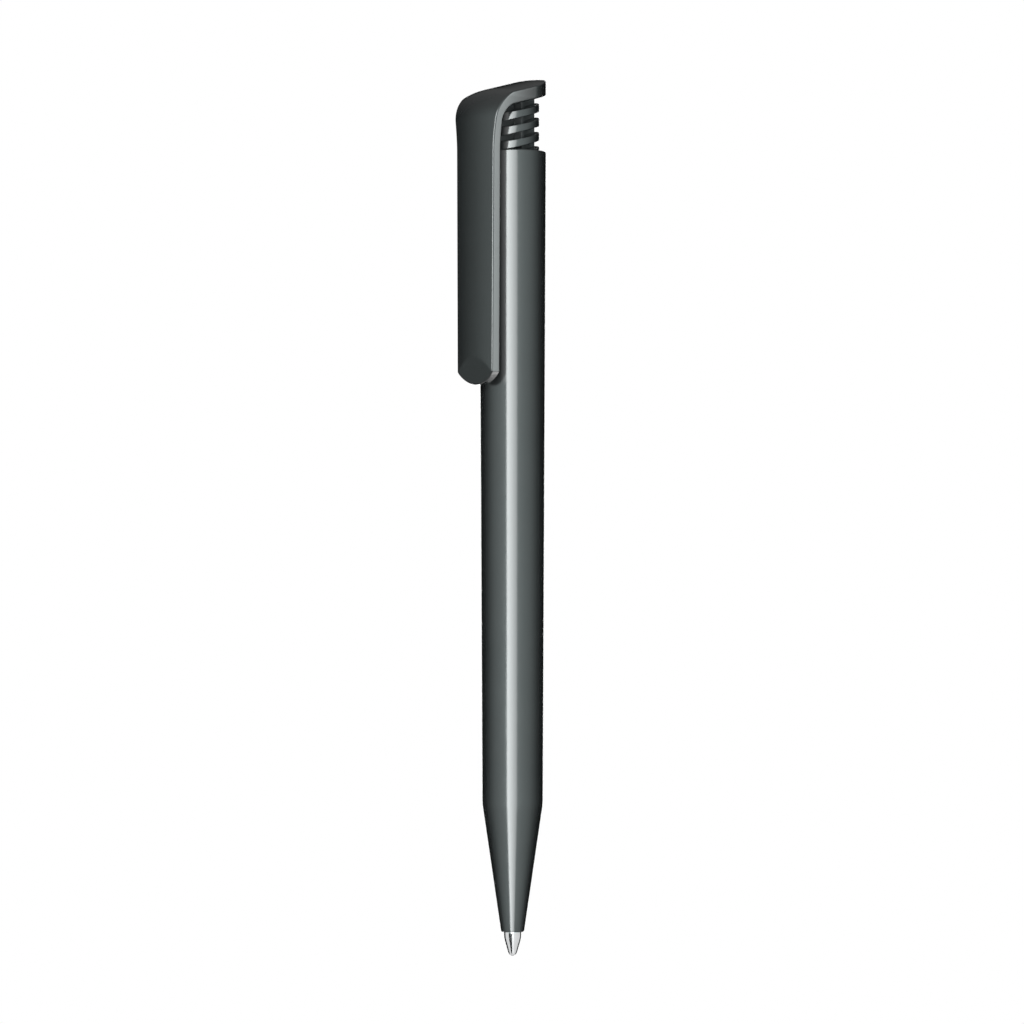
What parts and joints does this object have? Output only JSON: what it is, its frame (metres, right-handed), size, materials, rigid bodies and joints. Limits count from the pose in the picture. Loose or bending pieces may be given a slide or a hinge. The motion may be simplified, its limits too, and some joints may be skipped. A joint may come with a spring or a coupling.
{
  "type": "retractable ballpoint pen",
  "caption": "Retractable ballpoint pen with a slim one-piece barrel, a spiral shaft and a curved cap that runs down into a wide flat clip and serves as the push button.",
  "frame": {"origin": "the writing point, at the lowest point of the writing ball, with the pen standing on it in its writing position", "axes": "+Z along the pen's axis from the writing point to the push button, -X towards the clip, Y across the clip"},
  "size_m": [0.0141, 0.0106, 0.1397],
  "materials": {
    "grey_plastic": "dark anthracite plastic, smooth and glossy",
    "inner_plastic": "mid grey plastic of the hidden mechanism",
    "tube_plastic": "milky refill tube",
    "spring_steel": "bright spring wire",
    "nib_metal": "polished nickel silver nib",
    "ball_metal": "hard metal writing ball",
    "ink": "dark ink paste",
    "grease": "amber grease plug"
  },
  "bodies": {
    "casing": {"barrel": "grey_plastic", "guide_sleeve": "inner_plastic", "return_spring": "spring_steel"},
    "plunger": {"clip_plunger": "grey_plastic"},
    "rotor": {"cam_rotor": "inner_plastic"},
    "refill": {"nib_socket": "nib_metal", "tip_adapter": "inner_plastic", "refill_tube": "tube_plastic", "ink_column": "ink", "grease_follower": "grease"},
    "ball": {"writing_ball": "ball_metal"}
  },
  "joints": [
    {"name": "plunger_slide", "type": "slide", "parent": "casing", "child": "plunger", "axis": [0, 0, 1], "range_m": [-0.001, 0.005]},
    {"name": "rotor_slide", "type": "slide", "parent": "casing", "child": "rotor", "axis": [0, 0, 1], "range_m": [-0.001, 0.005]},
    {"name": "refill_slide", "type": "slide", "parent": "casing", "child": "refill", "axis": [0, 0, 1], "range_m": [-0.001, 0.005], "deforming": ["return_spring"]},
    {"name": "ball_roll", "type": "hinge", "parent": "refill", "child": "ball", "pos_m": [0, 0, 0.0005], "axis": [0, 1, 0], "continuous": true}
  ],
  "couplings": [
    {"joint": "rotor_slide", "follows": "plunger_slide", "ratio": 1},
    {"joint": "refill_slide", "follows": "plunger_slide", "ratio": 1}
  ]
}
